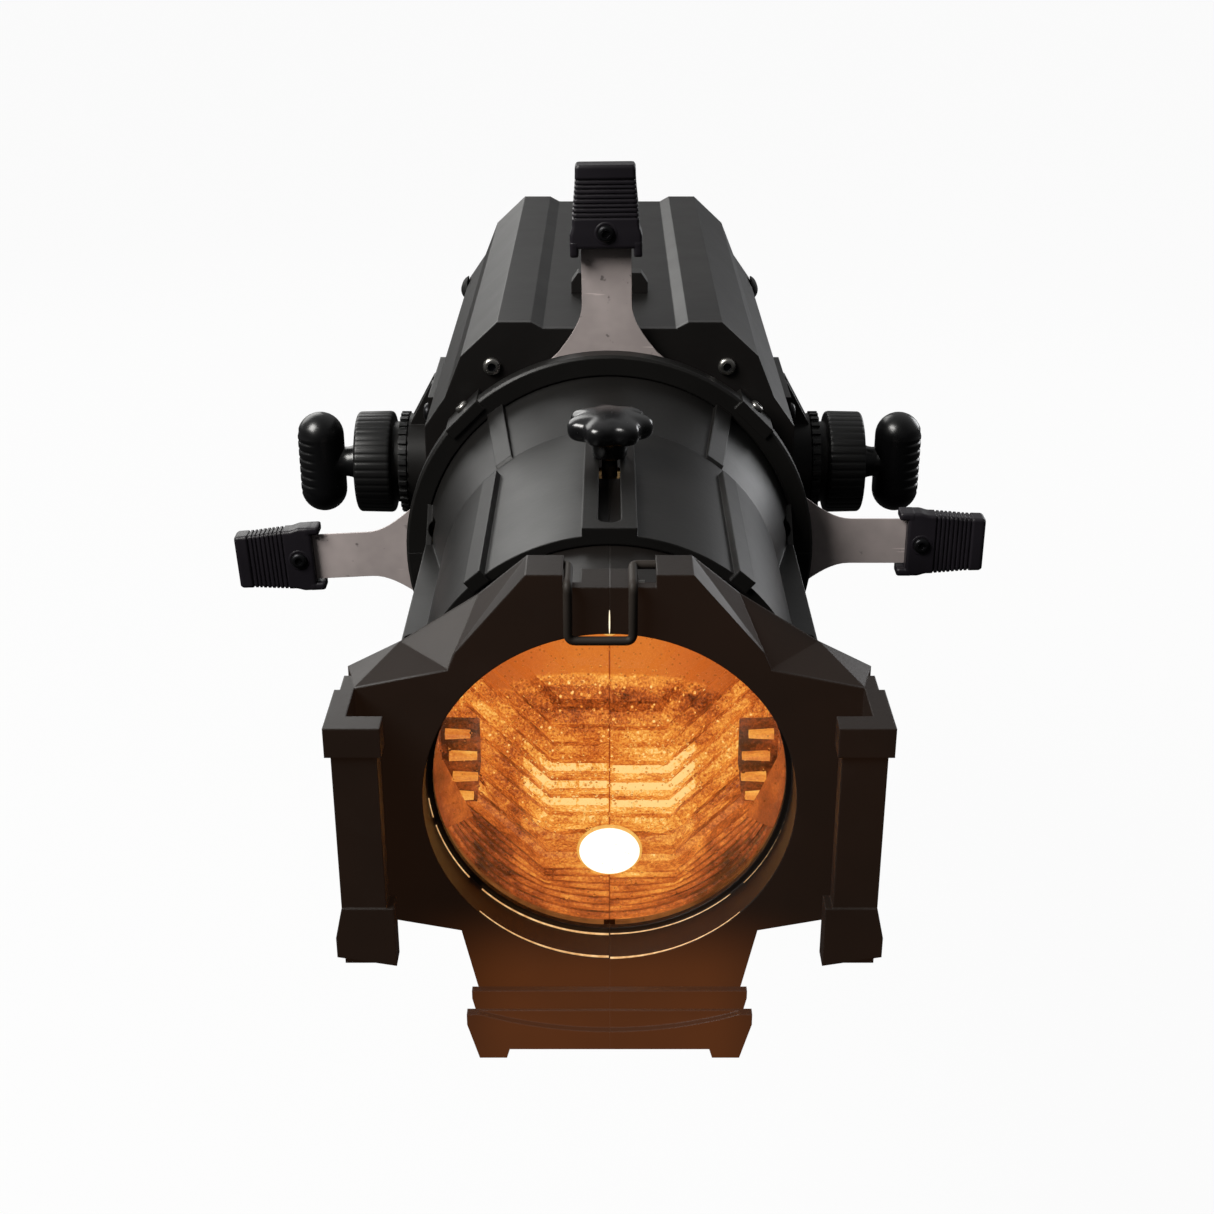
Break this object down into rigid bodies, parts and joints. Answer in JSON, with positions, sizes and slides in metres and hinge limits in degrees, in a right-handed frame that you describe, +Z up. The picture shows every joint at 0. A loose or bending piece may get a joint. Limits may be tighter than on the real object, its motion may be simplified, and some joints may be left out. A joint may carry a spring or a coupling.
{
  "type": "ellipsoidal spotlight",
  "caption": "Profile spotlight with LED engine, four framing shutters, sliding lens tube with gel-frame holder, and a tilting yoke.",
  "frame": {"origin": "centre of the clamp-bolt hole on the outer face of the yoke's crossbar", "axes": "+Z up, the light leaves towards -Y along the optical axis, +X to the right seen from the front of the lamp"},
  "size_m": [0.3323, 0.5935, 0.3321],
  "materials": {
    "powder_black": "fine textured satin black",
    "panel_black": "satin black",
    "tube_black": "glass-filled satin black",
    "grip_black": "glossy black",
    "clamp_black": "satin black",
    "handle_black": "semi-matte blue-black",
    "blade_steel": "brushed and scratched stainless",
    "screw_steel": "bright zinc",
    "screw_black": "black oxide",
    "lens_glass": "clear seeded glass",
    "rubber": "matte",
    "aluminium": "extruded",
    "brass": "turned",
    "led": "lit LED board",
    "board_green": "solder mask",
    "display": "dark window",
    "button_grey": "soft touch",
    "inlet_blue": "satin blue",
    "outlet_grey": "satin light grey",
    "socket_black": "satin black"
  },
  "bodies": {
    "yoke": {"yoke_bar": "powder_black", "friction_washers": "clamp_black", "clamp_discs": "clamp_black"},
    "tilt_knob_left": {"tilt_handle_left": "grip_black"},
    "tilt_knob_right": {"tilt_handle_right": "grip_black"},
    "fixture": {"side_bracket_left": "powder_black", "side_bracket_right": "powder_black", "bracket_screws": "screw_steel", "safety_eye": "panel_black", "housing_top": "powder_black", "housing_bottom": "powder_black", "front_plate": "panel_black", "rear_panel": "panel_black", "panel_screws": "screw_steel", "rear_bumpers": "rubber", "led_module": "led", "heat_sink": "aluminium", "condenser_lens": "lens_glass", "condenser_holder": "tube_black", "driver_box": "aluminium", "control_board": "board_green", "fan_frame": "clamp_black", "fan_guard": "panel_black", "display_window": "display", "power_inlet": "inlet_blue", "power_outlet": "outlet_grey", "data_inlet": "socket_black", "data_outlet": "socket_black", "gate_plate": "panel_black", "shutter_spacers": "blade_steel", "shutter_separators": "blade_steel", "barrel_top": "powder_black", "barrel_bottom": "powder_black", "barrel_screws": "screw_steel"},
    "fan": {"fan_rotor": "clamp_black"},
    "button_menu": {"button_menu": "button_grey"},
    "button_down": {"button_down": "button_grey"},
    "button_up": {"button_up": "button_grey"},
    "button_enter": {"button_enter": "button_grey"},
    "lens_tube": {"lens_tube_left": "tube_black", "lens_tube_right": "tube_black", "tube_screws": "screw_steel", "front_lens": "lens_glass", "rear_lens": "lens_glass", "lens_rings": "tube_black", "focus_nut": "brass"},
    "focus_knob": {"focus_knob": "grip_black"},
    "frame_clip": {"frame_clip": "screw_black"},
    "shutter_top": {"blade_top": "blade_steel", "blade_handle_top": "handle_black", "handle_screw_top": "screw_black"},
    "shutter_right": {"blade_right": "blade_steel", "blade_handle_right": "handle_black", "handle_screw_right": "screw_black"},
    "shutter_bottom": {"blade_bottom": "blade_steel", "blade_handle_bottom": "handle_black", "handle_screw_bottom": "screw_black"},
    "shutter_left": {"blade_left": "blade_steel", "blade_handle_left": "handle_black", "handle_screw_left": "screw_black"}
  },
  "joints": [
    {"name": "tilt", "type": "hinge", "parent": "yoke", "child": "fixture", "pos_m": [0, -0.22553, 0.08209], "axis": [1, 0, 0], "range_deg": [-170, 130]},
    {"name": "tilt_knob_left_turn", "type": "hinge", "parent": "yoke", "child": "tilt_knob_left", "pos_m": [-0.1435, -0.22553, 0.08209], "axis": [-1, 0, 0], "range_deg": [-90, 270]},
    {"name": "tilt_knob_right_turn", "type": "hinge", "parent": "yoke", "child": "tilt_knob_right", "pos_m": [0.1435, -0.22553, 0.08209], "axis": [1, 0, 0], "range_deg": [-90, 270]},
    {"name": "focus", "type": "slide", "parent": "fixture", "child": "lens_tube", "axis": [0, 1, 0], "range_m": [-0.06, 0.026]},
    {"name": "focus_knob_turn", "type": "hinge", "parent": "lens_tube", "child": "focus_knob", "pos_m": [0, -0.42653, 0.16209], "axis": [0, 0, 1], "range_deg": [0, 360]},
    {"name": "frame_clip_swing", "type": "hinge", "parent": "lens_tube", "child": "frame_clip", "pos_m": [0, -0.54603, 0.16089], "axis": [1, 0, 0], "range_deg": [-120, 0]},
    {"name": "fan_spin", "type": "hinge", "parent": "fixture", "child": "fan", "pos_m": [0, -0.06393, 0.12409], "axis": [0, 1, 0], "continuous": true},
    {"name": "shutter_top_slide", "type": "slide", "parent": "fixture", "child": "shutter_top", "axis": [0.0105, 0, -0.9999], "range_m": [0, 0.038]},
    {"name": "shutter_right_slide", "type": "slide", "parent": "fixture", "child": "shutter_right", "axis": [-1, 0, 0], "range_m": [0, 0.038]},
    {"name": "shutter_bottom_slide", "type": "slide", "parent": "fixture", "child": "shutter_bottom", "axis": [0, 0, 1], "range_m": [0, 0.038]},
    {"name": "shutter_left_slide", "type": "slide", "parent": "fixture", "child": "shutter_left", "axis": [0.9986, 0, 0.0523], "range_m": [0, 0.038]},
    {"name": "button_menu_press", "type": "slide", "parent": "fixture", "child": "button_menu", "axis": [0, -1, 0], "range_m": [0, 0.0015], "stiffness_N_per_m": 400, "springref_m": -0.001},
    {"name": "button_down_press", "type": "slide", "parent": "fixture", "child": "button_down", "axis": [0, -1, 0], "range_m": [0, 0.0015], "stiffness_N_per_m": 400, "springref_m": -0.001},
    {"name": "button_up_press", "type": "slide", "parent": "fixture", "child": "button_up", "axis": [0, -1, 0], "range_m": [0, 0.0015], "stiffness_N_per_m": 400, "springref_m": -0.001},
    {"name": "button_enter_press", "type": "slide", "parent": "fixture", "child": "button_enter", "axis": [0, -1, 0], "range_m": [0, 0.0015], "stiffness_N_per_m": 400, "springref_m": -0.001}
  ]
}
